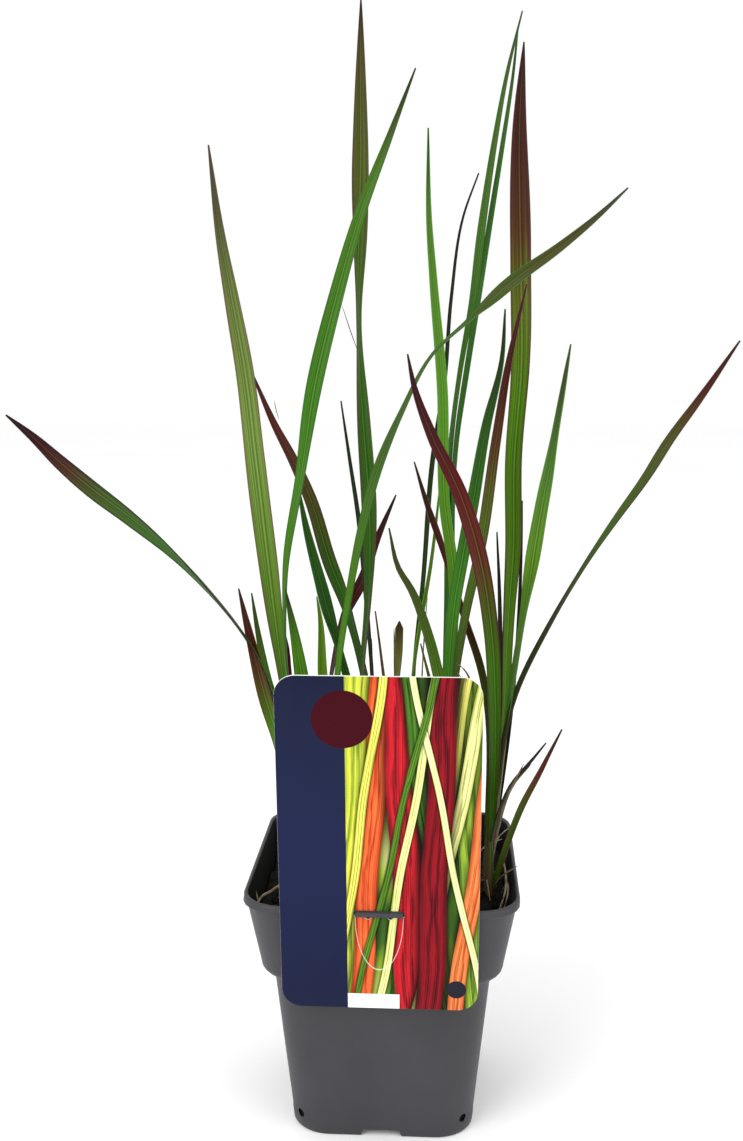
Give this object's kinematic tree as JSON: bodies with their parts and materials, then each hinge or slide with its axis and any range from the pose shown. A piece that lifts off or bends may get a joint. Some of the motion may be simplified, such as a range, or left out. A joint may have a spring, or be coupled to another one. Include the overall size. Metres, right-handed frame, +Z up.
{
  "type": "potted japanese blood grass",
  "caption": "Tuft of upright folded grass blades, green turning dark red, standing in soil in a square grey nursery pot with a hanging label card.",
  "frame": {"origin": "centre of the underside of the pot, on the surface it stands on", "axes": "+Z up, the label card faces -Y, the pot's walls lie along X and Y"},
  "size_m": [0.2285, 0.1002, 0.3741],
  "materials": {
    "pot": "moulded, fine grain",
    "soil": "crumbly",
    "label_card": "gloss print",
    "shoot_left": "satin",
    "shoot_tall_left": "satin",
    "shoot_upright": "satin",
    "shoot_dark_short": "satin",
    "shoot_arching": "satin",
    "shoot_slanting": "satin",
    "shoot_centre": "satin",
    "shoot_dry_stub": "matte",
    "shoot_thin": "satin",
    "shoot_frayed": "satin",
    "shoot_bright": "satin",
    "shoot_maroon": "satin",
    "shoot_right": "satin",
    "shoot_small_right": "satin"
  },
  "bodies": {
    "root": {"pot": "pot", "soil": "soil", "label_card": "label_card", "shoot_left": "shoot_left", "shoot_tall_left": "shoot_tall_left", "shoot_upright": "shoot_upright", "shoot_dark_short": "shoot_dark_short", "shoot_arching": "shoot_arching", "shoot_slanting": "shoot_slanting", "shoot_centre": "shoot_centre", "shoot_dry_stub": "shoot_dry_stub", "shoot_thin": "shoot_thin", "shoot_frayed": "shoot_frayed", "shoot_bright": "shoot_bright", "shoot_maroon": "shoot_maroon", "shoot_right": "shoot_right", "shoot_small_right": "shoot_small_right"}
  },
  "joints": []
}
